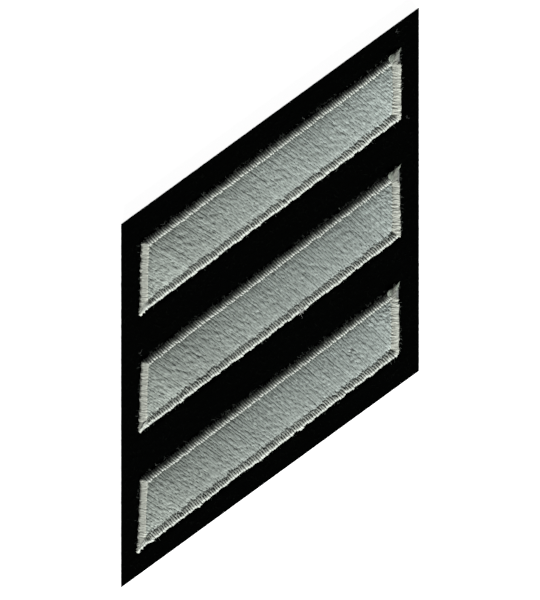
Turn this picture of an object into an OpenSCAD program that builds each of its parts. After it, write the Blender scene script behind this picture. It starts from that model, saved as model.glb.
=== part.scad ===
// Service stripe: a slanted patch of felt with three satin-stitched bars.
// X runs across the patch, Y up it and Z out of its face. The origin is the
// middle of the underside, so the patch lies on its back at Z = 0.
// Lengths are in millimetres.

/* [Cloth] */
// Width of the felt between its two upright edges
cloth_w = 47.7; // [46:0.1:56]
// Length of each upright edge of the felt
cloth_side = 58.2; // [57:0.1:66]
// Height that the slanted edges climb from left to right
cloth_rise = 34.7; // [33:0.1:36]
// Thickness of the felt
cloth_t = 1.6; // [1.2:0.1:3]
// Rounding of the felt's cut edges
cloth_round = 0.2; // [0.1:0.05:0.4]

/* [Stripes] */
// Width of a stripe between its two upright ends
stripe_w = 41.6; // [38:0.1:44]
// Upright height of a stripe at the middle of its length
stripe_h = 11.8; // [10:0.1:13]
// Height that a stripe climbs from left to right
stripe_rise = 31.5; // [30:0.1:33]
// Upright distance from one stripe to the next
stripe_pitch = 18.85; // [18:0.05:19.5]
// Drop of all three stripes below the middle of the felt
stripe_drop = 0.3; // [0:0.05:1]

/* [Stitching] */
// Width of the satin border along the widest side of a stripe
border_w = 1.35; // [1:0.05:2]
// Height of the border's ridge above its seat in the felt
border_h = 0.8; // [0.6:0.05:1.4]
// Height of the crowned fill above its seat in the felt
fill_h = 0.85; // [0.5:0.05:1.2]
// Depth that the stitches pull the felt down
seat_depth = 0.25; // [0.1:0.05:0.5]
// Width of the felt's slope down to the stitches
seat_slope = 0.5; // [0.2:0.05:0.8]

/* [Hidden] */

felt_black = [0.02, 0.02, 0.02];
fill_grey = [0.56, 0.58, 0.55];
border_grey = [0.70, 0.70, 0.66];

// Gap that keeps each stitched piece clear of its neighbours
gap = 0.05;
// Height of the pressed felt that carries a stripe
seat_z = cloth_t - seat_depth;
// Height that the tool for a seat stands above the felt
seat_over = 1;
// Steps from the edge up to the ridge's crest, from there down to the seam,
// and across the fill
rise_steps = 8;
fall_steps = 5;
fill_steps = 16;
// Fullness of the ridge's outer side, where 1 is a quarter ellipse
ridge_fullness = 0.8;
// Share of the ridge's height that it loses from its crest to the seam
ridge_drop = 0.1;
// Share of the crown that is left at the fill's long edges
crown_edge = 0.65;
// Powers that flatten the crown's middle and round its shoulders
crown_flat = 2.4;
crown_shoulder = 0.7;

// How each stripe, from the top one down, strays from the even layout.
// [shift in X, extra climb, taper towards the right, lean of the left end]
STRAY = [
    [ 0.15, -0.25, 0.25, 0.25],
    [ 0.10,  0.05, 0.20, 0.35],
    [-0.05,  0.05, 0.20, 0.40]
];

// Border along the sides of a stripe: lower, right, upper and left.
// [share of border_w, place of the crest across it]
BORDER_SIDES = [[0.78, 0.38], [1.00, 0.55], [0.97, 0.70], [0.93, 0.40]];

// Rounded edge of the felt, in shares of cloth_round.
// [inset, height from the nearer face]
FELT_EDGE = [[1, 0], [0.5, 0.13], [0.13, 0.5], [0, 1]];

// Slope of a seat from its floor up, in shares of its width and depth.
// [distance out, height]
SEAT_EDGE = [[0, 0], [0.3, 0.55], [0.6, 0.85], [1, 1]];

// Height of the fill along its length, in shares.
// [place along the fill, height]
FILL_ALONG = [
    [0.000, 0.90], [0.015, 0.94], [0.035, 0.98], [0.060, 1.00],
    [0.860, 1.00], [0.930, 0.98], [0.970, 0.94], [1.000, 0.88]
];

// Unit vector across the edge from p to q, into an outline that runs
// counter-clockwise.
function inward(p, q) = let (d = q - p) [-d[1], d[0]] / norm(d);

// The same distance for all four sides.
function even(d) = [d, d, d, d];

// A four-cornered outline with side i moved in by d[i], its corners mitred.
function inset(outline, d) = [
    for (i = [0:3])
        let (
            j = (i + 3) % 4,
            before = inward(outline[j], outline[i]),
            after = inward(outline[i], outline[(i + 1) % 4]),
            c = before * after,
            shift = before * (d[j] - c * d[i]) + after * (d[i] - c * d[j])
        )
        outline[i] + shift / (1 - c * c)
];

// Outlines start at the lower left corner and run counter-clockwise.
cloth_outline = [
    [-cloth_w / 2, -(cloth_side + cloth_rise) / 2],
    [cloth_w / 2, (cloth_rise - cloth_side) / 2],
    [cloth_w / 2, (cloth_side + cloth_rise) / 2],
    [-cloth_w / 2, (cloth_side - cloth_rise) / 2]
];

function stripe_outline(n) =
    let (
        row = STRAY[n - 1],
        left = row[0] - stripe_w / 2,
        right = row[0] + stripe_w / 2,
        middle = stripe_pitch * (2 - n) - stripe_drop,
        climb = (stripe_rise + row[1]) / 2,
        left_h = (stripe_h + row[2]) / 2,
        right_h = (stripe_h - row[2]) / 2
    )
    [
        [left - row[3], middle - climb - left_h],
        [right, middle + climb - right_h],
        [right, middle + climb + right_h],
        [left, middle - climb + left_h]
    ];

// Points of rings stacked on an outline, where each row is
// [insets of the four sides, height].
function ring_points(outline, rings) = [
    for (row = rings)
        for (p = inset(outline, row[0]))
            [p[0], p[1], row[1]]
];

// The four faces that join ring i to ring j.
function ring_faces(i, j) = [
    for (k = [0:3])
        [4 * i + k, 4 * j + k, 4 * j + (k + 1) % 4, 4 * i + (k + 1) % 4]
];

// A solid of stacked rings, closed at its first and last ring.
module stacked(outline, rings) {
    last = len(rings) - 1;
    polyhedron(
        points = ring_points(outline, rings),
        faces = concat(
            [[0, 1, 2, 3]],
            [for (i = [0:last - 1]) each ring_faces(i, i + 1)],
            [[for (k = [3:-1:0]) 4 * last + k]]
        ),
        convexity = 4
    );
}

// A closed frame along an outline, whose section runs through the rings.
module framed(outline, rings) {
    count = len(rings);
    polyhedron(
        points = ring_points(outline, rings),
        faces = [for (i = [0:count - 1]) each ring_faces(i, (i + 1) % count)],
        convexity = 6
    );
}

// The space that a stripe's stitches press into the felt.
module seat_space(n) {
    slope = [
        for (row = SEAT_EDGE)
            [even(-gap - seat_slope * row[0]), seat_z + seat_depth * row[1]]
    ];
    top = [[even(-gap - seat_slope), cloth_t + seat_over]];
    stacked(stripe_outline(n), concat(slope, top));
}

// The felt patch, with a shallow seat under each stripe.
module backing_cloth() {
    bottom = [
        for (row = FELT_EDGE)
            [even(cloth_round * row[0]), cloth_round * row[1]]
    ];
    top = [
        for (i = [len(bottom) - 1:-1:0])
            [bottom[i][0], cloth_t - bottom[i][1]]
    ];
    color(felt_black)
        difference() {
            stacked(cloth_outline, concat(bottom, top));
            for (n = [1:3])
                seat_space(n);
        }
}

// Insets of the four sides at the share t of the way from the outer edge to
// the crest, and from the crest to the seam.
function rise_at(t) = border_w * [for (side = BORDER_SIDES) side[0] * side[1] * t];
function fall_at(t) = border_w * [
    for (side = BORDER_SIDES)
        side[0] * (side[1] + (1 - side[1]) * t)
];

// The satin border of a stripe: a ridge that runs all the way round, rounded
// on its outer side and with a shallow fall to the seam on its inner side.
module stripe_border(n) {
    low = seat_z + gap;
    tall = border_h - gap;
    rise = [
        for (i = [0:rise_steps])
            let (a = 90 * i / rise_steps)
            [rise_at(1 - cos(a)), low + tall * pow(sin(a), ridge_fullness)]
    ];
    fall = [
        for (i = [1:fall_steps])
            let (t = i / fall_steps)
            [fall_at(t), low + tall * (1 - ridge_drop * t * t)]
    ];
    color(border_grey)
        framed(stripe_outline(n), concat(rise, fall, [[fall_at(1), low]]));
}

// Height of the fill's crown at the share v of the way across it.
function crown(v) =
    crown_edge + (1 - crown_edge)
    * pow(1 - pow(abs(2 * v - 1), crown_flat), crown_shoulder);

// The satin fill of a stripe: a low cushion, highest along its middle. It is
// a skin over cross-sections, each of which starts with its two base corners.
module stripe_fill(n) {
    bed = inset(stripe_outline(n), fall_at(1) + even(gap));
    low = seat_z + gap;
    rows = len(FILL_ALONG);
    loop = fill_steps + 3;
    points = [
        for (row = FILL_ALONG)
            let (
                p = bed[0] * (1 - row[0]) + bed[1] * row[0],
                q = bed[3] * (1 - row[0]) + bed[2] * row[0]
            )
            each [
                [q[0], q[1], low],
                [p[0], p[1], low],
                for (j = [0:fill_steps])
                    let (v = j / fill_steps, s = p * (1 - v) + q * v)
                    [s[0], s[1], low + (fill_h - gap) * row[1] * crown(v)]
            ]
    ];
    skin = [
        for (i = [0:rows - 2], j = [0:loop - 1])
            let (
                a = i * loop + j,
                b = i * loop + (j + 1) % loop,
                c = b + loop,
                d = a + loop
            )
            each [[a, b, c], [a, c, d]]
    ];
    first_end = [for (j = [loop - 1:-1:0]) j];
    last_end = [for (j = [0:loop - 1]) (rows - 1) * loop + j];
    color(fill_grey)
        polyhedron(
            points = points,
            faces = concat(skin, [first_end, last_end]),
            convexity = 4
        );
}

backing_cloth();
stripe_fill(1);  // stripe_1_fill
stripe_border(1);  // stripe_1_border
stripe_fill(2);  // stripe_2_fill
stripe_border(2);  // stripe_2_border
stripe_fill(3);  // stripe_3_fill
stripe_border(3);  // stripe_3_border
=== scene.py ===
"""Service stripe: a slanted patch of black felt with three satin-stitched bars.

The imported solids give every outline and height. This script lays real stitches
over them: each thread is a pair of twisted plies, swept as closed tubes. It
works in millimetres and scales to metres when a mesh is made.
"""

import math

import bpy
import numpy as np
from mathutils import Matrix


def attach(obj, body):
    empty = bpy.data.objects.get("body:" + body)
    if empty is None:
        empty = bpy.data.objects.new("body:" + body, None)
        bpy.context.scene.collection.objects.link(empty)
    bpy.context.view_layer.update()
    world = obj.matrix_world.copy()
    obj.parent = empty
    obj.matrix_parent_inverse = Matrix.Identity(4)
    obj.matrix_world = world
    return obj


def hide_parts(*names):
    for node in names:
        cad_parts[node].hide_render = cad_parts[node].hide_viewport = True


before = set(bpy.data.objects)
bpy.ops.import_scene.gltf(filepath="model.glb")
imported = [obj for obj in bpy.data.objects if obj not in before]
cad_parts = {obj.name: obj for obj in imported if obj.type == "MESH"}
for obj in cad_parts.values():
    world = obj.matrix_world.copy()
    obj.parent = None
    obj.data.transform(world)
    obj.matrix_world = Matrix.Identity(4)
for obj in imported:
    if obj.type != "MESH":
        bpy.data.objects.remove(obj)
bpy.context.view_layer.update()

MM = 0.001
TAU = 2 * math.pi
UP = np.array([0.0, 0.0, 1.0])

# Sizes that the source of the solids gives, in millimetres.
CLOTH_T = 1.6
CLOTH_ROUND = 0.2
BORDER_W = 1.35
BORDER_H = 0.8
FILL_H = 0.85
SEAT_DEPTH = 0.25
SEAT_SLOPE = 0.5
GAP = 0.05
SEAT_Z = CLOTH_T - SEAT_DEPTH
BED_Z = SEAT_Z + GAP
CROWN_EDGE = 0.65
CROWN_FLAT = 2.4
CROWN_SHOULDER = 0.7
FELT_EDGE = [[1, 0], [0.5, 0.13], [0.13, 0.5], [0, 1]]
SEAT_EDGE = np.array([[0, 0], [0.3, 0.55], [0.6, 0.85], [1, 1]])
FILL_ALONG = np.array([
    [0.000, 0.90], [0.015, 0.94], [0.035, 0.98], [0.060, 1.00],
    [0.860, 1.00], [0.930, 0.98], [0.970, 0.94], [1.000, 0.88],
])

# Sides of a stripe, counter-clockwise.
LOWER, RIGHT, UPPER, LEFT = range(4)
# [share of BORDER_W, place of the crest across it]
BORDER_SIDES = np.array([[0.78, 0.38], [1.00, 0.55], [0.97, 0.70], [0.93, 0.40]])
SIDE_W = BORDER_W * BORDER_SIDES[:, 0]
SIDE_CREST = BORDER_SIDES[:, 1]
# Fullness of each side's outer slope, where 1 is a quarter ellipse
SIDE_FULLNESS = np.array([0.75, 0.80, 1.10, 0.60])
# Bend of that slope, where 2 is an ellipse and less is straighter below the crest
SIDE_BEND = np.array([2.0, 2.0, 1.35, 2.0])
# Share of its height that each side's ridge loses from its crest to the seam
SIDE_DROP = np.array([0.02, 0.06, 0.12, 0.00])
# Sink of a border thread at its needle hole
SIDE_DIVE = np.array([0.02, 0.06, 0.05, 0.04])
# How far the threads run on over the fill's edge
SIDE_OVER = np.array([0.20, 0.05, 0.03, 0.00])
# Unevenness of the threads' heights and of the reach of their inner ends
SIDE_ROUGH = np.array([0.022, 0.015, 0.022, 0.006])
SIDE_RAGGED = np.array([0.13, 0.06, 0.05, 0.04])


# Outlines

def corners(node):
    """Plan corners of a slanted node: lower left, lower right, upper right, upper left."""
    co = np.array([v.co[:2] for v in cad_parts[node].data.vertices]) / MM
    # each corner lies furthest along one of two directions, up or down it
    climb, lean = co[:, 0] + 0.5 * co[:, 1], co[:, 1] - 1.5 * co[:, 0]
    return co[[climb.argmin(), lean.argmin(), climb.argmax(), lean.argmax()]]


def inward(outline):
    """Unit vectors across the four sides, into the outline."""
    d = np.roll(outline, -1, axis=0) - outline
    n = np.stack([-d[:, 1], d[:, 0]], axis=1)
    return n / np.linalg.norm(n, axis=1, keepdims=True)


def inset(outline, d):
    """The outline with side i moved in by d[i], or all by d, its corners mitred."""
    here = np.broadcast_to(np.asarray(d, float), 4)
    prior = np.roll(here, 1)
    after = inward(outline)
    before = np.roll(after, 1, axis=0)
    c = (before * after).sum(axis=1)
    shift = before * (prior - c * here)[:, None] + after * (here - c * prior)[:, None]
    return outline + shift / (1 - c * c)[:, None]


def depths(outline, points):
    """How far each point lies inside each of the four sides."""
    n = inward(outline)
    return np.stack([(points - outline[i]) @ n[i] for i in range(4)])


def ridge(s, kind):
    """Height of the border's ridge at the share s across the sides of these kinds."""
    crest = SIDE_CREST[kind]
    outer = np.clip(s / crest, 0, 1)
    inner = np.clip((s - crest) / (1 - crest), 0, 1)
    rise = (1 - (1 - outer) ** SIDE_BEND[kind]) ** (SIDE_FULLNESS[kind] / 2)
    return np.where(s < crest, rise, 1 - SIDE_DROP[kind] * inner ** 2)


def crown(v):
    """Height of the fill's crown at the share v of the way across it."""
    inside = np.clip(1 - np.abs(2 * v - 1) ** CROWN_FLAT, 0, 1)
    return CROWN_EDGE + (1 - CROWN_EDGE) * inside ** CROWN_SHOULDER


def fill_skin(bed, points):
    """Height of the fill's surface over plan points, falling off outside the bed."""
    d = depths(bed, points)
    v = d[LOWER] / (d[LOWER] + d[UPPER])
    s = d[LEFT] / (d[LEFT] + d[RIGHT])
    z = BED_Z + (FILL_H - GAP) * np.interp(s, *FILL_ALONG.T) * crown(v)
    return z + TUCK_FALL * np.minimum(0, d.min(axis=0))


# Meshes

def make(name, verts, quads, uvs=None, tone=None):
    """A smooth mesh object from vertices in millimetres and four-cornered faces."""
    mesh = bpy.data.meshes.new(name)
    mesh.vertices.add(len(verts))
    mesh.vertices.foreach_set("co", (verts * MM).astype(np.float32).ravel())
    mesh.loops.add(quads.size)
    mesh.loops.foreach_set("vertex_index", quads.astype(np.int32).ravel())
    mesh.polygons.add(len(quads))
    mesh.polygons.foreach_set("loop_start", np.arange(0, quads.size, 4, dtype=np.int32))
    mesh.update(calc_edges=True)
    mesh.shade_smooth()
    for key, uv in (uvs or {}).items():
        layer = mesh.uv_layers.new(name=key)
        layer.data.foreach_set("uv", uv.astype(np.float32).ravel())
    if tone is not None:
        layer = mesh.color_attributes.new("Tone", "FLOAT_COLOR", "POINT")
        rgba = np.concatenate([tone, np.ones((len(tone), 1))], axis=1)
        layer.data.foreach_set("color", rgba.astype(np.float32).ravel())
    obj = bpy.data.objects.new(name, mesh)
    bpy.context.scene.collection.objects.link(obj)
    return obj


def tubes(path, side, wide, tall, sides):
    """Closed tubes along paths (tube, ring, 3). Returns vertices, quads and UV steps."""
    count, rings = path.shape[:2]
    ahead = np.gradient(path, axis=1)
    ahead /= np.linalg.norm(ahead, axis=2, keepdims=True)
    side = side - (side * ahead).sum(axis=2, keepdims=True) * ahead
    side /= np.linalg.norm(side, axis=2, keepdims=True)
    up = np.cross(side, ahead)
    angle = TAU * np.arange(sides) / sides
    ring = (
        side[:, :, None] * (wide[..., None] * np.cos(angle))[..., None]
        + up[:, :, None] * (tall[..., None] * np.sin(angle))[..., None]
    )
    verts = (path[:, :, None] + ring).reshape(-1, 3)

    r, j = np.meshgrid(np.arange(rings - 1), np.arange(sides), indexing="ij")
    r, j = r.ravel(), j.ravel()
    k = (j + 1) % sides
    skin = np.stack([r * sides + j, (r + 1) * sides + j, (r + 1) * sides + k, r * sides + k], 1)
    fan = np.array([[0, i, i + 1, i + 2] for i in range(1, sides - 2, 2)])
    last = (rings - 1) * sides
    one = np.concatenate([skin, fan, last + fan[:, ::-1]])
    quads = (np.arange(count)[:, None, None] * rings * sides + one[None]).reshape(-1, 4)

    step = np.linalg.norm(np.diff(path, axis=1), axis=2)
    run = np.concatenate([np.zeros((count, 1)), np.cumsum(step, axis=1)], axis=1)
    around = np.stack([j, j, j + 1, j + 1], 1) / sides
    along = np.stack([r, r + 1, r + 1, r], 1)
    return verts, quads, run, along, around, fan


CAP_ROOM = 0.7  # room for a tube's end caps in its cell, in girths


def atlas(run, along, around, fan, girth):
    """UV maps for tubes: Lay, in millimetres along and across, and OFBake, one cell a tube."""
    count, sides = len(run), fan.max() + 1
    angle = TAU * np.arange(sides) / sides
    dot = np.stack([0.5 + 0.3 * np.cos(angle), 0.5 + 0.3 * np.sin(angle)], 1)[fan]
    lay_u = run[:, along]
    lay_v = np.broadcast_to(around * girth, lay_u.shape)
    cap_u = np.broadcast_to(dot[None, ..., 0] * girth, (count,) + dot.shape[:2])
    cap_v = np.broadcast_to(dot[None, ..., 1] * girth, cap_u.shape)
    room = girth * CAP_ROOM
    start_u, end_u = cap_u - room, cap_u + run[:, -1][:, None, None] + room
    u = np.concatenate([lay_u, start_u, end_u], axis=1)
    v = np.concatenate([lay_v, cap_v, cap_v], axis=1)
    lay = np.stack([u, v], axis=-1)
    cell_w = run[:, -1].max() + 2 * room + girth
    cell_h = girth * (1 + CAP_ROOM)
    cols = max(1, int(round(math.sqrt(count * cell_h / cell_w))))
    rows = math.ceil(count / cols)
    i = np.arange(count)
    scale = 1 / max(cols * cell_w, rows * cell_h)
    bake_u = (u + room + girth / 2 + (i % cols)[:, None, None] * cell_w) * scale
    bake_v = (v + (i // cols)[:, None, None] * cell_h + room / 2) * scale
    return {"Lay": lay.reshape(-1, 2), "OFBake": np.stack([bake_u, bake_v], -1).reshape(-1, 2)}


def plan_side(path):
    """Level vectors across each path, a flat start for its tubes."""
    ahead = np.gradient(path, axis=1)
    side = np.cross(ahead, UP)
    return side / np.maximum(np.linalg.norm(side, axis=2, keepdims=True), 1e-9)


def twisted(rng, path, spread, lift, pitch):
    """Two plies wound round each path."""
    count = len(path)
    step = np.linalg.norm(np.diff(path, axis=1), axis=2)
    run = np.concatenate([np.zeros((count, 1)), np.cumsum(step, axis=1)], axis=1)
    ahead = np.gradient(path, axis=1)
    ahead /= np.linalg.norm(ahead, axis=2, keepdims=True)
    side = plan_side(path)
    up = np.cross(side, ahead)
    start = rng.uniform(0, TAU, (count, 1))
    turn = start - TAU * run / (pitch * rng.uniform(0.8, 1.25, (count, 1)))
    both = []
    for half in (0, math.pi):
        a = (turn + half)[..., None]
        both.append(path + spread * np.cos(a) * side + lift * np.sin(a) * up)
    return np.concatenate(both), np.concatenate([side, side])


# Threads

TUCK = 0.42          # how far the fill's threads run on under the border
TUCK_FALL = 0.90     # their fall there, in height for each length
FILL_PITCH = 0.430   # from one fill thread to the next, along the bar
FILL_RINGS = 42
FILL_LEAN = ([-20, -6, 4, 20], [-30, -34, -37, -42])  # [X, direction in degrees]
FILL_STEEPER = [0.0, 3.0, 3.0]  # of each stripe's threads, in degrees
FILL_TWIST = 1.5     # length in which its plies make one turn
FILL_SINK = 0.09     # its centre below the fill's skin
FILL_PAST = 7.0      # how far past a bar's ends the rows of threads are laid out
FILL_SHORTEST = 1.4  # shorter threads than this are left out
FILL_LOOSE = [0.020, 0.015]  # unevenness of their spacing, over two threads and between them
FILL_CROWD = 0.45    # how far the rings of a thread crowd towards its ends
# Lean of paired threads to each other at their ends, at least and on top, and its reach
# from the upper and the lower end
FILL_PAIR = [0.02, 0.10]
FILL_PAIR_REACH = [0.9, 0.7]
FILL_WANDER = 0.030  # sideways unevenness along a thread
# Unevenness of the threads' heights: between them, along each, and over an area
FILL_ROUGH = [0.008, 0.017, 0.016]
FILL_ROLL = 0.08     # further fall of the lower ends at a bar's left end
LONG_PITCH = 0.426   # of the border's threads along the two long sides
END_PITCH = 0.27     # along the two upright ends
TWIST = 2.1          # length in which their plies make one turn
THREAD_R = 0.13
LOOSE = 0.03         # unevenness of their spacing
# [sideways throw of a ply, its lift, its half width, its half height]
FILL_BUILD = [0.070, 0.012, 0.235, 0.040]
LONG_BUILD = [0.050, 0.030, 0.120, 0.095]
END_BUILD = [0.060, 0.012, 0.185, 0.070]
WISP_BUILD = [0.020, 0.010, 0.075, 0.060]


def smooth_noise(rng, count, reach):
    """Seeded noise of unit spread that changes over about reach items."""
    raw = rng.normal(size=count + 6 * reach)
    kernel = np.exp(-0.5 * (np.arange(-3 * reach, 3 * reach + 1) / reach) ** 2)
    out = np.convolve(raw, kernel, "same")[3 * reach:3 * reach + count]
    return out / max(out.std(), 1e-9)


def bunched(rng, count):
    """Seeded noise of about unit spread that swings over three to five items."""
    raw = rng.normal(size=count + 4)
    near, far = raw[1:-3] + raw[3:-1], raw[:-4] + raw[4:]
    return (raw[2:-2] + 0.55 * near - 0.35 * far) / 1.36


def smooth_rows(rng, count, rings, reach):
    """One row of smooth noise for each thread."""
    return np.array([smooth_noise(rng, rings, reach) for _ in range(count)])


def ripple(rng, plan):
    """Seeded smooth noise of about unit spread over plan points."""
    waves = 28
    angle, phase = rng.uniform(0, TAU, (2, waves))
    length = rng.uniform(0.5, 1.6, waves)
    out = np.zeros(plan.shape[:-1])
    for a, f, w in zip(angle, phase, length):
        out += np.cos(TAU * (plan[..., 0] * math.cos(a) + plan[..., 1] * math.sin(a)) / w + f)
    return out * math.sqrt(2 / waves)


def pits(outline, plan):
    """Depth of the two hollows where the lower seam turns the corners."""
    inner = inset(outline, SIDE_W)
    e = (inner[1] - inner[0]) / np.linalg.norm(inner[1] - inner[0])
    spots = [inner[0] + PIT_STEP * e, inner[1] + PIT_STEP * np.array([0, 1])]
    away = [np.linalg.norm(plan - spot, axis=-1) / PIT_REACH for spot in spots]
    return PIT_DEPTH * sum(np.exp(-a * a) for a in away)


def off_line(plan, p, q):
    """Distance of plan points from the line between two points."""
    d = q - p
    t = np.clip(((plan - p) @ d) / (d @ d), 0, 1)
    return np.linalg.norm(plan - p - t[..., None] * d, axis=-1)


def fill_paths(rng, outline, number):
    """Centre lines of the fill's threads, from the upper edge down to the lower one."""
    bed = inset(outline, SIDE_W + GAP)
    cut = inset(outline, SIDE_W + GAP - TUCK)
    n = inward(cut)
    left, right = (bed[0] + bed[3]) / 2, (bed[1] + bed[2]) / 2
    length = np.linalg.norm(right - left)
    count = int((length + 2 * FILL_PAST) / FILL_PITCH)
    at = (np.arange(count) + 0.5) * FILL_PITCH - FILL_PAST
    at += FILL_LOOSE[0] * smooth_noise(rng, count, 2) + FILL_LOOSE[1] * rng.normal(size=count)
    mid = left + (right - left) * (at / length)[:, None]
    lean = np.radians(np.interp(mid[:, 0], *FILL_LEAN) - FILL_STEEPER[number - 1])
    lean += 0.008 * rng.normal(size=count)
    go = np.stack([np.cos(lean), np.sin(lean)], axis=1)
    near = np.full(count, -99.0)
    far = np.full(count, 99.0)
    for i in range(4):
        speed = go @ n[i]
        t = -((mid - cut[i]) @ n[i]) / speed
        near = np.where(speed > 0, np.maximum(near, t), near)
        far = np.where(speed < 0, np.minimum(far, t), far)
    keep = far - near > FILL_SHORTEST
    mid, go, near, far = mid[keep], go[keep], near[keep], far[keep]
    count = len(mid)
    # rings crowd a little towards both ends, where the thread bends
    even = np.linspace(0, 1, FILL_RINGS)
    share = FILL_CROWD * (0.5 - 0.5 * np.cos(math.pi * even)) + (1 - FILL_CROWD) * even
    t = near[:, None] + (far - near)[:, None] * share
    plan = mid[:, None] + go[:, None] * t[..., None]
    across = np.stack([-go[:, 1], go[:, 0]], axis=1)[:, None]
    # pairs share a needle hole and lean together there, some more than others
    cluster = np.clip(smooth_noise(rng, count // 2 + 1, 2), 0, 2)
    part = np.repeat(cluster * rng.uniform(0.2, 1, count // 2 + 1), 2)[:count]
    pair = np.where(np.arange(count) % 2 == 0, 1, -1) * (FILL_PAIR[0] + FILL_PAIR[1] * part)
    close = np.exp(-(t - near[:, None]) / FILL_PAIR_REACH[0])
    close -= np.exp(-(far[:, None] - t) / FILL_PAIR_REACH[1])
    body = np.sin(math.pi * share)
    wander = pair[:, None] * close + FILL_WANDER * smooth_rows(rng, count, FILL_RINGS, 2) * body
    plan = plan + across * wander[..., None]
    z = fill_skin(bed, plan.reshape(-1, 2)).reshape(count, FILL_RINGS) - FILL_SINK
    z += FILL_ROUGH[0] * rng.normal(size=(count, 1)) * body
    z += FILL_ROUGH[1] * smooth_rows(rng, count, FILL_RINGS, 1) * body
    z += FILL_ROUGH[2] * ripple(rng, plan) * body
    # the lower left of the fill rolls over more
    roll = np.clip((share - 0.6) / 0.4, 0, 1) ** 2
    z -= FILL_ROLL * np.clip(-mid[:, :1] / 20, 0, 1) * roll
    if number == CREASE_STRIPE:
        z -= CREASE_DEPTH * np.exp(-((off_line(plan, *CREASE) / CREASE_REACH) ** 2))
    z = np.maximum(z - pits(outline, plan), SEAT_Z + 0.1)
    return np.concatenate([plan, z[..., None]], axis=2)


# A short crease across the third stripe's fill: its ends, reach and depth.
CREASE_STRIPE = 3
CREASE = np.array([[13.05, -7.95], [12.80, -9.25]])
CREASE_REACH = 0.13
CREASE_DEPTH = 0.20

# Hollows at a stripe's lower inner corners: place past the corner, reach and depth.
PIT_STEP = 0.4
PIT_REACH = 0.42
PIT_DEPTH = 0.28

# How far past the mitre the border's threads keep on turning, at the start
# and the end of each side.
TURN = {LOWER: (0.5, 0.5), RIGHT: (0.5, 0.9), UPPER: (0.1, 0.5), LEFT: (0.5, 0.9)}
# Share of the pitch by which the threads draw together in pairs.
ZIG = {LOWER: 0.07, RIGHT: 0.10, UPPER: 0.05, LEFT: 0.10}
# How far the inner ends lie to the left of the outer ones at X = -20, 0 and 20.
SIDE_LEAN = {
    LOWER: [0.05, 0.07, 0.20],
    RIGHT: [0.0, 0.0, 0.0],
    UPPER: [0.38, 0.22, 0.08],
    LEFT: [0.0, 0.0, 0.0],
}
# Unevenness of the outer ends: over three or four threads, and over more.
SIDE_BUMPS = {LOWER: 0.060, RIGHT: 0.045, UPPER: 0.060, LEFT: 0.045}
SIDE_WAVES = {LOWER: 0.035, RIGHT: 0.020, UPPER: 0.040, LEFT: 0.015}
# Outward bow of each side at its middle.
BOW = {LOWER: 0.05, RIGHT: 0.07, UPPER: 0.0, LEFT: 0.03}
# Outward shift of the outer ends of each stripe's threads, at the left and right ends
# of the long sides and at the lower and upper ends of the upright ones.
EDGE_SHIFT = [
    {LOWER: (-0.20, -0.13), RIGHT: (0.05, -0.02), UPPER: (0.02, -0.18), LEFT: (0.00, -0.03)},
    {LOWER: (-0.23, -0.07), RIGHT: (0.00, -0.22), UPPER: (0.03, -0.10), LEFT: (0.00, -0.05)},
    {LOWER: (-0.04, -0.14), RIGHT: (-0.05, -0.20), UPPER: (0.04, -0.14), LEFT: (0.00, -0.10)},
]
# Outline at the upper right tip: depth of its notch and how far down it reaches.
NOTCH = [(0.45, 2.7), (0.36, 2.8), (0.48, 2.6)]
NOTCH_SLOPE = 0.5
# How far each stripe's lower left tip is pulled in.
BLUNT = [-0.08, 0.30, -0.25]
BLUNT_REACH = 0.9


def side_ends(outline, which):
    """Places along one side of the outer ends of its threads, and how far the inner
    ends lie from them along it."""
    inner = inset(outline, SIDE_W)
    a, b = outline[which], outline[(which + 1) % 4]
    length = np.linalg.norm(b - a)
    e = (b - a) / length
    mitres = [(inner[which] - a) @ e, (b - inner[(which + 1) % 4]) @ e]
    pitch = END_PITCH if which in (LEFT, RIGHT) else LONG_PITCH

    def shift(p):
        out = np.zeros_like(p)
        for mitre, turn, q, sign in zip(mitres, TURN[which], (p, length - p), (1, -1)):
            d = mitre + turn
            bent = mitre + turn * (np.clip(q, 0, d) / d) ** (d / turn)
            out += sign * np.where(q < d, bent - q, 0)
        return out

    p = np.linspace(0, length, 4000)
    tight = np.full_like(p, pitch)
    for q, mitre in ((p, mitres[0]), (length - p, mitres[1])):
        if mitre > 2:
            tight = np.where(q < mitre + 1, pitch * 0.72, tight)
    midline = p + shift(p) / 2
    gain = np.concatenate([[0], np.cumsum(np.diff(midline) / tight[1:])])
    count = int(round(gain[-1] / 2)) * 2
    p = np.interp((np.arange(count) + 0.5) * gain[-1] / count, gain, p)
    return a, e, length, p, shift(p), mitres, pitch


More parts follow.
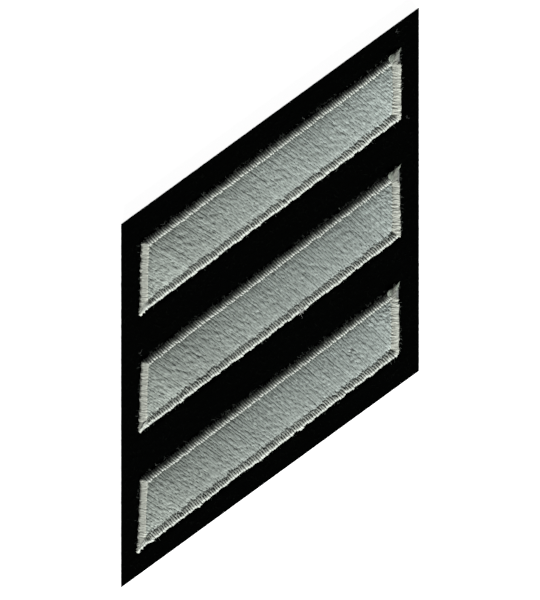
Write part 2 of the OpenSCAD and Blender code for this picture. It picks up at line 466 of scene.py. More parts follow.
def border_ends(rng, outline, number):
    """Outer and inner ends of all the border's threads, and the side of each."""
    outer, inner, kind = [], [], []
    for which in range(4):
        a, e, length, p, shift, mitres, pitch = side_ends(outline, which)
        if which == UPPER:
            p, shift = p[p > mitres[0]], shift[p > mitres[0]]
        n = inward(outline)[which]
        count = len(p)
        zig = ZIG[which] * pitch * np.where(np.arange(count) % 2 == 0, 1, -1)
        loose = LOOSE * rng.normal(size=count) + LOOSE * smooth_noise(rng, count, 3)
        loose = loose * pitch / LONG_PITCH
        window = np.clip(np.minimum(p, length - p) / 4, 0, 1)
        lean = np.interp(a[0] + e[0] * p, [-20, 0, 20], SIDE_LEAN[which]) * window
        bow = BOW[which] * np.sin(math.pi * p / length)
        first = 1 - p / length if which in (LOWER, RIGHT) else p / length
        shifts = EDGE_SHIFT[number - 1][which]
        edge = shifts[0] * first + shifts[1] * (1 - first)
        if which == RIGHT:
            deep, low = NOTCH[number - 1]
            edge = edge - deep * np.clip((low - (length - p)) / NOTCH_SLOPE, 0, 1)
        poke = bow + edge + 0.015 * rng.normal(size=count) + SIDE_BUMPS[which] * bunched(rng, count)
        poke = poke + SIDE_WAVES[which] * smooth_noise(rng, count, 3)
        reach = SIDE_W[which] + SIDE_OVER[which] + SIDE_RAGGED[which] * rng.normal(size=count)
        ends = a + e * (p + zig + loose)[:, None] - n * poke[:, None]
        tip_in = inward(outline)[LOWER] + inward(outline)[LEFT]
        tip_in /= np.linalg.norm(tip_in)
        far = np.linalg.norm(ends - outline[0], axis=1)
        ends += tip_in * (BLUNT[number - 1] * np.exp(-((far / BLUNT_REACH) ** 2)))[:, None]
        outer.append(ends)
        at = p + shift - zig - lean + 0.02 * rng.normal(size=count)
        inner.append(a + e * at[:, None] + n * reach[:, None])
        kind.append(np.full(count, which))
    return map(np.concatenate, (outer, inner, kind))


RISE_RINGS = 7
FALL_RINGS = 5
# Drop of a border thread's last ring below its neighbour: at the felt and at the seam
HOLE_DROP = [0.06, 0.22]
HOLE_STEP = 0.05     # and how far on it lies at the seam


def border_paths(rng, outline, outer, inner, kind, bulge):
    """Centre lines of border threads, over the ridge from the outer to the inner end.
    Each bulges sideways in plan by its own length."""
    count = len(outer)
    crest = SIDE_CREST[kind][:, None]
    rise = (1 - np.cos(np.linspace(0, math.pi / 2, RISE_RINGS)))[None] * crest
    fall = crest + (1 - crest) * np.linspace(0, 1, FALL_RINGS + 1)[None, 1:]
    s = np.concatenate([rise, fall], axis=1)
    gap = inner - outer
    reach = np.linalg.norm(gap, axis=1)[:, None]
    go = gap / reach
    across = np.stack([-go[:, 1], go[:, 0]], axis=1)
    run = THREAD_R * 0.8 * (1 - s) + reach * s
    plan = outer[:, None] + go[:, None] * run[..., None]
    plan -= across[:, None] * (bulge[:, None] * np.sin(math.pi * s ** 1.4))[..., None]
    tall = BORDER_H - GAP + SIDE_ROUGH[kind][:, None] * rng.normal(size=(count, 1))
    z = BED_Z + tall * ridge(s, kind[:, None])
    z -= THREAD_R * np.sqrt(np.clip(s / crest, 0, 1))
    z -= SIDE_DIVE[kind][:, None] * np.clip((s - 0.8) / 0.2, 0, 1) ** 2
    z -= pits(outline, plan)
    plan = np.concatenate([plan[:, :1], plan, plan[:, -1:] + HOLE_STEP * go[:, None]], axis=1)
    z = np.concatenate([z[:, :1] - HOLE_DROP[0], z, z[:, -1:] - HOLE_DROP[1]], axis=1)
    share = np.concatenate([s[:, :1], s, s[:, -1:]], axis=1)
    return np.concatenate([plan, z[..., None]], axis=2), share


def flame(rng, outline):
    """Ends and bulges of the loose strands that sweep up to the upper right tip."""
    inner = inset(outline, SIDE_W)
    tip, pivot = outline[2], inner[2]
    ahead = (tip - pivot) / np.linalg.norm(tip - pivot)
    aside = np.array([-ahead[1], ahead[0]])
    count = 18
    k = np.linspace(0, 1, count)
    short = np.interp(k, [0, 0.3, 0.6, 0.8, 1], [0.85, 0.40, -0.10, 0.15, 0.75])
    short = short + 0.08 * rng.normal(size=count)
    off = np.interp(k, [0, 0.3, 0.6, 1], [0.26, 0.12, 0.02, -0.14])
    outer = tip - ahead * short[:, None] + aside * off[:, None]
    start = pivot + aside * (0.32 - 0.5 * k)[:, None] - ahead * (0.05 + 0.30 * k)[:, None]
    bulge = 0.66 * (1 - k) ** 0.8 + 0.04 * rng.normal(size=count)
    return outer, start, bulge


def thread_piece(rng, name, path, build, twist, swell, tone):
    """One mesh of twisted threads, with their maps and tones."""
    build = np.broadcast_to(build, (len(path), 4))
    plies, sides = twisted(rng, path, build[:, 0, None, None], build[:, 1, None, None], twist)
    count, rings = plies.shape[:2]
    build = np.concatenate([build, build]) * (1 + 0.06 * rng.normal(size=(count, 1)))
    swell = np.concatenate([swell, swell])
    wide, tall = build[:, 2, None] * swell, build[:, 3, None] * np.ones_like(swell)
    verts, quads, run, along, around, fan = tubes(plies, sides, wide, tall, 6)
    uvs = atlas(run, along, around, fan, TAU * build[:, 2:].mean())
    tone = np.concatenate([tone, tone]) * (1 + 0.03 * rng.normal(size=(count, 1)))
    return make(name, verts, quads, uvs, np.clip(np.repeat(tone, rings * 6, axis=0), 0, 2))


# Materials

def new_material(name):
    mat = bpy.data.materials.new(name)
    mat.use_nodes = True
    tree = mat.node_tree
    return mat, tree, tree.nodes["Principled BSDF"]


def thread_material(name, colour, rough, lumps_and_sheen, gloss=0.55):
    """Glossy rayon: its tone a thread, fine fibres along each ply, and blotches that are real lumps
    in its bump and painted sheen in its colour.
    """
    mat, tree, bsdf = new_material(name)
    join = tree.links.new
    tone = tree.nodes.new("ShaderNodeVertexColor")
    tone.layer_name = "Tone"
    lay = tree.nodes.new("ShaderNodeUVMap")
    lay.uv_map = "Lay"
    spin = tree.nodes.new("ShaderNodeMapping")
    spin.inputs["Scale"].default_value = (0.9, 26.0, 1.0)
    spin.inputs["Rotation"].default_value = (0, 0, math.radians(9))
    join(lay.outputs["UV"], spin.inputs["Vector"])
    fibre = tree.nodes.new("ShaderNodeTexNoise")
    fibre.inputs["Scale"].default_value = 1.0
    fibre.inputs["Detail"].default_value = 3.0
    join(spin.outputs["Vector"], fibre.inputs["Vector"])
    ramp = tree.nodes.new("ShaderNodeMapRange")
    ramp.inputs["From Min"].default_value = 0.3
    ramp.inputs["From Max"].default_value = 0.7
    ramp.inputs["To Min"].default_value = 0.80
    ramp.inputs["To Max"].default_value = 1.12
    join(fibre.outputs["Fac"], ramp.inputs["Value"])
    where = tree.nodes.new("ShaderNodeTexCoord")
    # blotches: in the colour they are painted sheen, standing in for the fibres' uneven gloss; in
    # the bump they are real lumps
    lump_sheen_noise = tree.nodes.new("ShaderNodeTexNoise")
    lump_sheen_noise.inputs["Scale"].default_value = 2300
    lump_sheen_noise.inputs["Detail"].default_value = 2.0
    join(where.outputs["Object"], lump_sheen_noise.inputs["Vector"])
    uneven = tree.nodes.new("ShaderNodeMapRange")
    uneven.inputs["From Min"].default_value = 0.3
    uneven.inputs["From Max"].default_value = 0.7
    uneven.inputs["To Min"].default_value = 1 - lumps_and_sheen
    uneven.inputs["To Max"].default_value = 1 + lumps_and_sheen
    join(lump_sheen_noise.outputs["Fac"], uneven.inputs["Value"])
    grain_and_sheen = tree.nodes.new("ShaderNodeMath")
    grain_and_sheen.operation = "MULTIPLY"
    join(ramp.outputs["Result"], grain_and_sheen.inputs[0])
    join(uneven.outputs["Result"], grain_and_sheen.inputs[1])
    base = tree.nodes.new("ShaderNodeMix")
    base.data_type = "RGBA"
    base.blend_type = "MULTIPLY"
    base.inputs["Factor"].default_value = 1.0
    base.inputs["A"].default_value = (*colour, 1)
    join(tone.outputs["Color"], base.inputs["B"])
    shade = tree.nodes.new("ShaderNodeVectorMath")
    shade.operation = "SCALE"
    join(base.outputs["Result"], shade.inputs[0])
    join(grain_and_sheen.outputs[0], shade.inputs["Scale"])
    join(shade.outputs["Vector"], bsdf.inputs["Base Color"])
    bump = tree.nodes.new("ShaderNodeBump")
    bump.inputs["Strength"].default_value = 0.5
    bump.inputs["Distance"].default_value = 0.02 * MM
    join(fibre.outputs["Fac"], bump.inputs["Height"])
    lumps = tree.nodes.new("ShaderNodeBump")
    lumps.inputs["Strength"].default_value = 1.0
    lumps.inputs["Distance"].default_value = 0.3 * lumps_and_sheen * MM
    join(lump_sheen_noise.outputs["Fac"], lumps.inputs["Height"])
    join(bump.outputs["Normal"], lumps.inputs["Normal"])
    join(lumps.outputs["Normal"], bsdf.inputs["Normal"])
    bsdf.inputs["Roughness"].default_value = rough
    bsdf.inputs["Specular IOR Level"].default_value = gloss
    return mat


def felt_material(name, colour):
    """Matt felt: curled fibres and wide, faint patches."""
    mat, tree, bsdf = new_material(name)
    join = tree.links.new
    where = tree.nodes.new("ShaderNodeTexCoord")
    curl = tree.nodes.new("ShaderNodeTexNoise")
    curl.inputs["Scale"].default_value = 2400
    curl.inputs["Detail"].default_value = 5
    curl.inputs["Distortion"].default_value = 1.5
    join(where.outputs["Object"], curl.inputs["Vector"])
    patch = tree.nodes.new("ShaderNodeTexNoise")
    patch.inputs["Scale"].default_value = 160
    patch.inputs["Detail"].default_value = 2
    join(where.outputs["Object"], patch.inputs["Vector"])
    mix = tree.nodes.new("ShaderNodeMix")
    mix.data_type = "RGBA"
    mix.inputs["A"].default_value = (*[0.55 * c for c in colour], 1)
    mix.inputs["B"].default_value = (*[1.5 * c for c in colour], 1)
    both = tree.nodes.new("ShaderNodeMath")
    both.operation = "MULTIPLY_ADD"
    both.inputs[1].default_value = 0.6
    join(curl.outputs["Fac"], both.inputs[0])
    half = tree.nodes.new("ShaderNodeMath")
    half.operation = "MULTIPLY"
    half.inputs[1].default_value = 0.4
    join(patch.outputs["Fac"], half.inputs[0])
    join(half.outputs[0], both.inputs[2])
    join(both.outputs[0], mix.inputs["Factor"])
    join(mix.outputs["Result"], bsdf.inputs["Base Color"])
    bump = tree.nodes.new("ShaderNodeBump")
    bump.inputs["Strength"].default_value = 0.8
    bump.inputs["Distance"].default_value = 0.05 * MM
    join(curl.outputs["Fac"], bump.inputs["Height"])
    join(bump.outputs["Normal"], bsdf.inputs["Normal"])
    bsdf.inputs["Roughness"].default_value = 0.95
    bsdf.inputs["Specular IOR Level"].default_value = 0.0
    return mat


# Felt

FELT_STEP = 0.30
FELT_SINK = 0.02     # mean sink of its face, so that the relief stays level with the solid
FELT_RELIEF = 0.018  # spread of the relief of its face
BACK_RELIEF = 0.012  # and of its back
FRAY = 0.02          # raggedness of its cut edge


def spread_over(quad, s, t):
    """Plan points at the shares s along and t up a four-cornered outline."""
    s, t = s[..., None], t[..., None]
    return (quad[0] * (1 - s) + quad[1] * s) * (1 - t) + (quad[3] * (1 - s) + quad[2] * s) * t


def grid_faces(nx, ny):
    """Faces of a grid of points, and the loop of points round it."""
    index = np.arange((nx + 1) * (ny + 1)).reshape(nx + 1, ny + 1)
    cell = np.stack([index[:-1, :-1], index[1:, :-1], index[1:, 1:], index[:-1, 1:]], -1)
    rim = np.concatenate([index[:-1, 0], index[-1, :-1], index[:0:-1, -1], index[0, :0:-1]])
    return cell.reshape(-1, 4), rim


def felt_top(stripes, flat):
    """Height of the felt's face, with its seats, over plan points."""
    z = np.full(len(flat), CLOTH_T)
    for stripe in stripes:
        away = (-depths(stripe, flat).min(axis=0) - GAP) / SEAT_SLOPE
        z = np.minimum(z, SEAT_Z + SEAT_DEPTH * np.interp(away, *SEAT_EDGE.T))
    return z


def felt_piece(rng, outline, stripes):
    """The felt: a dense sheared grid with seats under the stripes and a fine relief."""
    w = outline[1, 0] - outline[0, 0]
    h = outline[3, 1] - outline[0, 1]
    nx, ny = int(w / FELT_STEP), int(h / FELT_STEP)
    s, t = np.meshgrid(np.linspace(0, 1, nx + 1), np.linspace(0, 1, ny + 1), indexing="ij")
    flat = spread_over(inset(outline, CLOTH_ROUND), s, t).reshape(-1, 2)
    rough = rng.normal(size=(nx + 1, ny + 1))
    rough = (rough + np.roll(rough, 1, 0) + np.roll(rough, 1, 1)
             + np.roll(rough, (1, 1), (0, 1))) / 2
    z = felt_top(stripes, flat) - FELT_SINK + FELT_RELIEF * np.clip(rough.ravel(), -2.5, 2.5)
    under = BACK_RELIEF * np.clip(np.abs(rng.normal(size=len(z))), 0, 2)
    inside = len(flat)
    cell, rim = grid_faces(nx, ny)
    edge = flat[rim]
    full = spread_over(outline, s, t).reshape(-1, 2)[rim]
    lower = [[1 - r[0], r[1] * CLOTH_ROUND] for r in FELT_EDGE[1:]]
    levels = lower + [[1, CLOTH_T * k] for k in (0.26, 0.5, 0.74)]
    levels += [[share, CLOTH_T - height] for share, height in lower[::-1]]
    n = len(rim)
    fray = FRAY * rng.normal(size=(len(levels), n))
    out = full - edge
    out /= np.linalg.norm(out, axis=1, keepdims=True)
    walls = []
    for (share, height), ragged in zip(levels, fray):
        pts = edge + (full - edge) * share + out * ragged[:, None] * 0.6
        walls.append(np.column_stack([pts, height + 0.3 * ragged]))
    verts = np.concatenate([np.column_stack([flat, z]), np.column_stack([flat, under])] + walls)
    quads = [cell, inside + cell[:, ::-1]]
    loops = [inside + rim] + [2 * inside + k * n + np.arange(n) for k in range(len(levels))] + [rim]
    for lo, hi in zip(loops, loops[1:]):
        quads.append(np.stack([lo, np.roll(lo, -1), np.roll(hi, -1), hi], 1))
    return make("felt_patch", verts, np.concatenate(quads))


# Depth of the underlay below the border's ridge
PADDING_SINK = np.array([0.38, 0.27, 0.27, 0.24])
PADDING_INSET = 0.22
PADDING_FILL_SINK = 0.16  # below the fill's skin
PADDING_LOW = 0.02        # how far below the seat it goes at most
PADDING_BASE = 0.06       # depth of its flat underside below the seat
PADDING_CELLS = (120, 34)


def padding_piece(number, outline):
    """Underlay of a stripe, so that no felt shows between its stitches."""
    core = inset(outline, PADDING_INSET)
    bed = inset(outline, SIDE_W + GAP)
    nx, ny = PADDING_CELLS
    s, t = np.meshgrid(np.linspace(0, 1, nx + 1), np.linspace(0, 1, ny + 1), indexing="ij")
    flat = spread_over(core, s, t).reshape(-1, 2)
    deep = depths(outline, flat) / SIDE_W[:, None]
    nearest = deep.argmin(axis=0)
    share = np.clip(deep.min(axis=0), 0, 1)
    hill = BED_Z + (BORDER_H - GAP) * ridge(share, nearest) - PADDING_SINK[nearest]
    in_bed = depths(bed, flat).min(axis=0) > 0
    z = np.where(in_bed, fill_skin(bed, flat) - PADDING_FILL_SINK, hill)
    z = np.maximum(z - pits(outline, flat), SEAT_Z - PADDING_LOW)
    count = len(flat)
    base = np.column_stack([flat, np.full(count, SEAT_Z - PADDING_BASE)])
    verts = np.concatenate([np.column_stack([flat, z]), base])
    cell, rim = grid_faces(nx, ny)
    wall = np.stack([count + rim, count + np.roll(rim, -1), np.roll(rim, -1), rim], 1)
    quads = np.concatenate([cell, count + cell[:, ::-1], wall])
    uv = verts[:, :2][quads.ravel()]
    return make(f"stripe_{number}_padding", verts, quads, {"Lay": uv}, np.ones((len(verts), 3)))


# Loose fibres

HAIR_RINGS = 4


def hairs(name, start, go, length, rise, curl, radius, tone):
    """One mesh of short curved fibres. Each starts at a point, runs in a plan direction
    with an arching rise, and curls sideways."""
    count = len(start)
    t = np.linspace(0, 1, HAIR_RINGS)[None, :, None]
    flat = np.column_stack([go, np.zeros(count)])[:, None]
    aside = np.column_stack([-go[:, 1], go[:, 0], np.zeros(count)])[:, None]
    far, up, bend = length[:, None, None], rise[:, None, None], curl[:, None, None]
    path = start[:, None] + flat * far * t + aside * bend * far * t ** 2
    path = path + UP * up * far * (t - 0.6 * t ** 2)
    thick = np.broadcast_to(radius[:, None], (count, HAIR_RINGS)).copy()
    thick[:, -1] *= 0.4
    verts, quads, run, along, around, fan = tubes(path, plan_side(path), thick, thick, 4)
    uvs = atlas(run, along, around, fan, TAU * radius.max())
    return make(name, verts, quads, uvs, np.repeat(tone, HAIR_RINGS * 4, axis=0))


def wisps(rng, number, outline):
    """Stray filaments that stand off a stripe's edges, most of them along the upper one."""
    starts, goes = [], []
    for which, count in WISP_COUNTS.items():
        a, b = outline[which], outline[(which + 1) % 4]
        n = inward(outline)[which]
        e = (b - a) / np.linalg.norm(b - a)
        at = a + (b - a) * rng.uniform(0.02, 0.98, (count, 1))
        at = at + n * rng.uniform(0.0, 0.25, (count, 1))
        turn = rng.normal(0, 0.7, (count, 1))
        starts.append(np.column_stack([at, rng.uniform(BED_Z + 0.1, CLOTH_T + 0.1, count)]))
        goes.append(-n * np.cos(turn) + e * np.sin(turn))
    start, go = np.concatenate(starts), np.concatenate(goes)
    count = len(start)
    length = rng.uniform(0.15, 0.60, count)
    # their tone spreads at random and stays dim: painted shade, as they stand in the shade of the
    # stripe's edge
    tone = np.ones((count, 3)) * rng.uniform(0.2, 0.9, (count, 1))
    return hairs(f"stripe_{number}_wisps", start, go, length,
                 rise=rng.uniform(0.1, 0.7, count),
                 curl=rng.normal(0, 0.5, count),
                 radius=rng.uniform(0.010, 0.017, count), tone=tone)


WISP_COUNTS = {LOWER: 40, RIGHT: 30, UPPER: 260, LEFT: 30}
NAP_COUNT = 2000
# Pale specks of lint that the felt shows: [X, Y]
LINT = [[20.2, 42.5], [21.9, 28.7], [-12.5, -26.0], [5.6, -1.0], [-20.9, -9.0], [12.0, 4.6]]


def nap_piece(rng, outline, stripes):
    """Short dark fibres that lie on the felt's face, clear of the stripes."""
    spots = []
    while sum(map(len, spots)) < NAP_COUNT:
        s, t = rng.uniform(0, 1, (2, NAP_COUNT))
        plan = spread_over(inset(outline, 0.5), s, t)
        clear = np.all([depths(stripe, plan).min(axis=0) < -0.5 for stripe in stripes], axis=0)
        spots.append(plan[clear])
    plan = np.concatenate(spots)[:NAP_COUNT]
    angle = rng.uniform(0, TAU, NAP_COUNT)
    start = np.column_stack([plan, felt_top(stripes, plan) - 0.03])
    tone = np.ones((NAP_COUNT, 3))
    return hairs("felt_nap", start, np.column_stack([np.cos(angle), np.sin(angle)]),
                 length=rng.uniform(0.2, 0.7, NAP_COUNT),
                 rise=rng.uniform(0.15, 0.7, NAP_COUNT),
                 curl=rng.normal(0, 0.5, NAP_COUNT),
                 radius=rng.uniform(0.010, 0.018, NAP_COUNT), tone=tone)


def lint_piece(rng, stripes):
    """A few pale fibres caught on the felt."""
    plan = np.repeat(np.array(LINT), 3, axis=0) + 0.12 * rng.normal(size=(3 * len(LINT), 2))
    count = len(plan)
    angle = rng.uniform(0, TAU, count)
    start = np.column_stack([plan, felt_top(stripes, plan) + 0.01])
    return hairs("felt_lint", start, np.column_stack([np.cos(angle), np.sin(angle)]),
                 length=rng.uniform(0.2, 0.6, count),
                 rise=rng.uniform(0.1, 0.4, count),
                 curl=rng.normal(0, 0.8, count),
                 radius=rng.uniform(0.012, 0.02, count), tone=np.ones((count, 3)))


# Place of the tangle of thread on the second stripe's lower edge
TANGLE_STRIPE = 2
TANGLE = [4.9, -2.0]
TANGLE_COUNT = 90
TANGLE_SPREAD = 0.13


def tangle_piece(rng):
    """A small ball of snagged filaments."""
    plan = np.array(TANGLE) + TANGLE_SPREAD * rng.normal(size=(TANGLE_COUNT, 2))
    angle = rng.uniform(0, TAU, TANGLE_COUNT)
    start = np.column_stack([plan, rng.uniform(BED_Z + 0.3, CLOTH_T + 0.45, TANGLE_COUNT)])
    tone = np.ones((TANGLE_COUNT, 3)) * rng.uniform(0.8, 1.1, (TANGLE_COUNT, 1))
    return hairs(f"stripe_{TANGLE_STRIPE}_tangle", start,
                 np.column_stack([np.cos(angle), np.sin(angle)]),
                 length=rng.uniform(0.15, 0.40, TANGLE_COUNT),
                 rise=rng.uniform(0.1, 0.9, TANGLE_COUNT),
                 curl=rng.normal(0, 1.2, TANGLE_COUNT),
                 radius=rng.uniform(0.018, 0.030, TANGLE_COUNT), tone=tone)


# Build

# Tint of the fill's threads at the left and the right of the bars: a little bluer to the right,
# which is their own tint, and brighter to the right, which is painted light, as if the lamp lit
# that side more.
FILL_LEFT_HUE_AND_SHADE = np.array([0.883, 0.916, 0.902])
FILL_RIGHT_HUE_AND_LIGHT = np.array([1.13, 1.195, 1.22])
# Tint of the border's threads along the long sides and up the upright ends. The same thread runs
# all round; the upright ends' creamier tint is painted sheen, the warm highlight of threads that
# lie across the light.
LONG_TONE = np.array([0.97, 1.0, 0.965])
END_SHEEN_TINT = np.array([0.985, 1.0, 0.935])
# Tone of the loose strands at the upper right tip, darker than the border they come from: painted
# shade, as they face away from the lamp.
FLAME_SHADE_TONE = np.array([0.72, 0.78, 0.70])
# Painted shade of each stripe's fill and border: the second and third stripes, nearer the lamp, are
# darkened to even out its fall-off.
FILL_STRIPE_SHADE = [0.92, 0.825, 0.815]
BORDER_STRIPE_SHADE = [1.0, 0.94, 0.94]
# Painted light of each side's border threads: brighter on the right side, which faces the lamp, and
# a little on the left.
SIDE_PAINTED_LIGHT = np.array([1.0, 1.12, 1.0, 1.02])
# Painted shade along the upper border, the side away from the lamp, darker to the left: [X, share]
UPPER_SHADE = ([-20, 0, 14], [0.80, 0.84, 0.96])
# Width of each side's threads at their outer and their inner ends, in shares
SIDE_FULL = np.array([[2.10, 1.10, 0.60, 1.20], [0.62, 0.90, 1.30, 1.00]])
# Painted light: the fill's threads brighten towards the two ends of a bar: [X, share]
FILL_END_LIGHT = ([-20, -17.5, -14, 14, 17.5], [1.26, 1.22, 1.0, 1.0, 1.14])
# Share by which the right border darkens up to the tip: painted shade, as the tip faces away from
# the lamp
TIP_SHADE = 0.5
# Share of its width that a fill thread loses at its upper and its lower end, and how
# far in from them.
FILL_THIN = [0.65, 0.35]
FILL_THIN_REACH = 0.9
FILL_SWELL = 0.05    # unevenness of the width along a fill thread
# Unevenness of tone between the fill's threads, alone and over three of them
FILL_TONE_NOISE = [0.03, 0.02]
BORDER_TONE_NOISE = 0.025
FLAME_TONE_NOISE = 0.06
FLAME_FULL = 1.4     # width of the loose strands at the pivot, in shares
LOWER_UNEVEN = 0.16  # unevenness of the inner ends' widths along the lower side
LOWER_NARROW = 0.6   # power that keeps its threads full only near their outer ends

# the fourth value of each thread material sets its blotches: lumps in the bump and painted sheen in
# the colour
fill_mat = thread_material("fill_rayon", (0.46, 0.495, 0.455), 0.42, 0.25)
border_mat = thread_material("border_rayon", (0.58, 0.60, 0.565), 0.38, 0.06)
# The stray filaments get a darker grey than the border thread they come from: painted shade.
wisp_mat = thread_material("wisp_rayon", (0.30, 0.34, 0.30), 0.5, 0.05, 0.3)
lint_mat = thread_material("lint", (0.16, 0.17, 0.16), 0.8, 0.1, 0.2)
nap_mat = felt_material("felt_nap", (0.0075, 0.009, 0.0075))
# The underlay is grey thread like the stitches, given a darker grey: painted shade for the deep
# gaps between them.
padding_mat = thread_material("padding_thread", (0.30, 0.32, 0.30), 0.7, 0.1, 0.3)
felt_mat = felt_material("wool_felt", (0.0012, 0.0015, 0.0013))


def finish_piece(obj, mat, slot_name, *nodes):
    obj.data.materials.append(mat)
    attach(obj, "root")
    if nodes:
        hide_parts(*nodes)


stripes = [corners(f"stripe_{number}_border") for number in (1, 2, 3)]
for number, outline in zip((1, 2, 3), stripes):
    rng = np.random.default_rng(100 + number)
    path = fill_paths(rng, outline, number)
    count = len(path)
    # painted light: the fill's threads grow brighter from left to right
    across = np.clip(path[:, FILL_RINGS // 2, :1] / 40 + 0.5, 0, 1)
    tone = FILL_LEFT_HUE_AND_SHADE * (1 - across) + FILL_RIGHT_HUE_AND_LIGHT * across
    # painted light towards the bars' ends
    tone = tone * np.interp(path[:, FILL_RINGS // 2, :1], *FILL_END_LIGHT)
    uneven = FILL_TONE_NOISE[0] * rng.normal(size=(count, 1))
    uneven += FILL_TONE_NOISE[1] * smooth_noise(rng, count, 3)[:, None]
    # painted shade of the stripe's fill
    tone = tone * (1 + uneven) * FILL_STRIPE_SHADE[number - 1]
    swell = 1 + FILL_SWELL * smooth_rows(rng, count, FILL_RINGS, 4)
    past = np.linalg.norm(path[:, :, :2] - path[:, :1, :2], axis=2)
    left = past[:, -1:] - past
    swell *= 1 - FILL_THIN[0] * np.exp(-past / FILL_THIN_REACH)
    swell *= 1 - FILL_THIN[1] * np.exp(-left / FILL_THIN_REACH)
    name = f"stripe_{number}_fill_threads"
    obj = thread_piece(rng, name, path, FILL_BUILD, FILL_TWIST, swell, tone)
    finish_piece(obj, fill_mat, "fill_thread", f"stripe_{number}_fill")

    outer, inner, kind = border_ends(rng, outline, number)
    bulge = np.zeros(len(outer))
    f_outer, f_inner, f_bulge = flame(rng, outline)
    strands = len(f_outer)
    outer, inner = np.concatenate([outer, f_outer]), np.concatenate([inner, f_inner])
    kind = np.concatenate([kind, np.full(strands, UPPER)])
    bulge = np.concatenate([bulge, f_bulge])
    path, share = border_paths(rng, outline, outer, inner, kind, bulge)
    count = len(path)
    # the upright sides get the creamier tint: painted sheen
    upright = (kind % 2 == 1)[:, None]
    # the right side is brightened: painted light
    tone = np.where(upright, END_SHEEN_TINT, LONG_TONE) * SIDE_PAINTED_LIGHT[kind][:, None]
    # painted shade on the upper border
    upper_shade = np.interp(outer[:, :1], *UPPER_SHADE)
    tone = tone * np.where((kind == UPPER)[:, None], upper_shade, 1.0)
    tone = tone * (1 + BORDER_TONE_NOISE * rng.normal(size=(count, 1)))
    # painted shade of the stripe's border
    tone = tone * BORDER_STRIPE_SHADE[number - 1]
    # painted shade on the right border near the tip
    tip_share = np.clip(1 - np.linalg.norm(outer - outline[2], axis=1) / NOTCH[number - 1][1], 0, 1)
    tone = tone * (1 - TIP_SHADE * np.minimum(tip_share * 3, 1) * (kind == RIGHT))[:, None]
    build = np.where(upright, END_BUILD, LONG_BUILD)
    # painted shade on the loose strands at the tip
    tone[-strands:] = FLAME_SHADE_TONE * (1 + FLAME_TONE_NOISE * rng.normal(size=(strands, 1)))
    build[-strands:] = WISP_BUILD
    at_outer = SIDE_FULL[0][kind][:, None]
    at_inner = SIDE_FULL[1][kind][:, None]
    at_inner = at_inner * (1 - 0.008 * outer[:, :1] * (kind == UPPER)[:, None])
    uneven = LOWER_UNEVEN * smooth_noise(rng, count, 2) * (kind == LOWER)
    at_inner = at_inner * (1 + uneven[:, None])
    at_inner[-strands:] = FLAME_FULL
    narrow = share ** np.where(kind == LOWER, LOWER_NARROW, 1.0)[:, None]
    swell = at_outer * (1 - narrow) + at_inner * narrow
    name = f"stripe_{number}_border_threads"
    obj = thread_piece(rng, name, path, build, TWIST, swell, tone)
    finish_piece(obj, border_mat, "border_thread", f"stripe_{number}_border")
    finish_piece(padding_piece(number, outline), padding_mat, "fill_thread")
    finish_piece(wisps(rng, number, outline), wisp_mat, "border_thread")

rng = np.random.default_rng(11)
felt_outline = corners("backing_cloth")
felt = felt_piece(rng, felt_outline, stripes)
finish_piece(felt, felt_mat, "felt", "backing_cloth")
finish_piece(nap_piece(rng, felt_outline, stripes), nap_mat, "felt")
finish_piece(lint_piece(rng, stripes), lint_mat, "felt")
finish_piece(tangle_piece(rng), border_mat, "border_thread")

# Stage

FLOOR_GLOW = 0.96    # the floor's own light, so that it stays white to the edges
WORLD_LIGHT = 0.03   # level of the surroundings as a light
WORLD_SEEN = 0.95    # and as the camera sees them

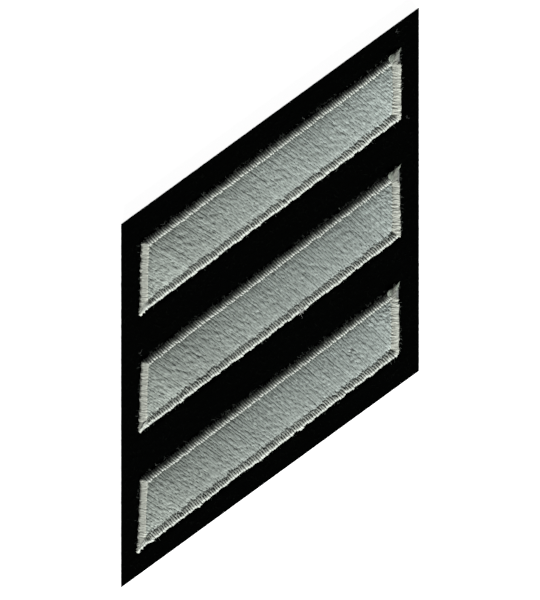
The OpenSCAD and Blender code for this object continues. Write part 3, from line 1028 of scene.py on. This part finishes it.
floor_mesh = bpy.data.meshes.new("studio_floor")
reach = 3.0
floor_corners = [(-reach, -reach, 0), (reach, -reach, 0), (reach, reach, 0), (-reach, reach, 0)]
floor_mesh.from_pydata(floor_corners, [], [(0, 1, 2, 3)])
floor = bpy.data.objects.new("studio_floor", floor_mesh)
floor.location.z = -0.02 * MM
bpy.context.scene.collection.objects.link(floor)
floor_mat, tree, bsdf = new_material("studio_paper")
bsdf.inputs["Base Color"].default_value = (0.9, 0.9, 0.9, 1)
bsdf.inputs["Roughness"].default_value = 1.0
bsdf.inputs["Specular IOR Level"].default_value = 0.0
bsdf.inputs["Emission Color"].default_value = (1, 1, 1, 1)
bsdf.inputs["Emission Strength"].default_value = FLOOR_GLOW
floor_mesh.materials.append(floor_mat)

world = bpy.data.worlds.new("studio")
bpy.context.scene.world = world
world.use_nodes = True
nodes, links = world.node_tree.nodes, world.node_tree.links
background = nodes["Background"]
background.inputs["Color"].default_value = (1, 1, 1, 1)
seen = nodes.new("ShaderNodeLightPath")
level = nodes.new("ShaderNodeMapRange")
level.inputs["To Min"].default_value = WORLD_LIGHT
level.inputs["To Max"].default_value = WORLD_SEEN
links.new(seen.outputs["Is Camera Ray"], level.inputs["Value"])
links.new(level.outputs["Result"], background.inputs["Strength"])


def softbox(name, azimuth, elevation, distance, wide, tall, watts):
    """A rectangular light that looks at the middle of the patch."""
    light = bpy.data.lights.new(name, "AREA")
    light.shape = "RECTANGLE"
    light.size, light.size_y = wide, tall
    light.energy = watts
    obj = bpy.data.objects.new(name, light)
    a, e = math.radians(azimuth), math.radians(elevation)
    obj.location = (
        distance * math.sin(a) * math.cos(e),
        -distance * math.cos(a) * math.cos(e),
        distance * math.sin(e),
    )
    obj.rotation_euler = (math.pi / 2 - e, 0, a)
    bpy.context.scene.collection.objects.link(obj)


softbox("key", azimuth=17, elevation=25, distance=1.6, wide=1.45, tall=0.29, watts=49)

# Camera

PICTURE = (540, 600)
PIXEL = 0.16 * MM
LENS = 0.150
SENSOR = 0.036
camera_data = bpy.data.cameras.new("camera")
camera_data.lens = LENS / MM
camera_data.sensor_width = SENSOR / MM
distance = LENS * PICTURE[1] * PIXEL / SENSOR
camera_data.clip_start, camera_data.clip_end = 0.01, 20
camera = bpy.data.objects.new("camera", camera_data)
camera.location = (0, -2.5 * PIXEL, CLOTH_T * MM + distance)
bpy.context.scene.collection.objects.link(camera)
bpy.context.scene.camera = camera
bpy.context.scene.view_settings.view_transform = "Standard"
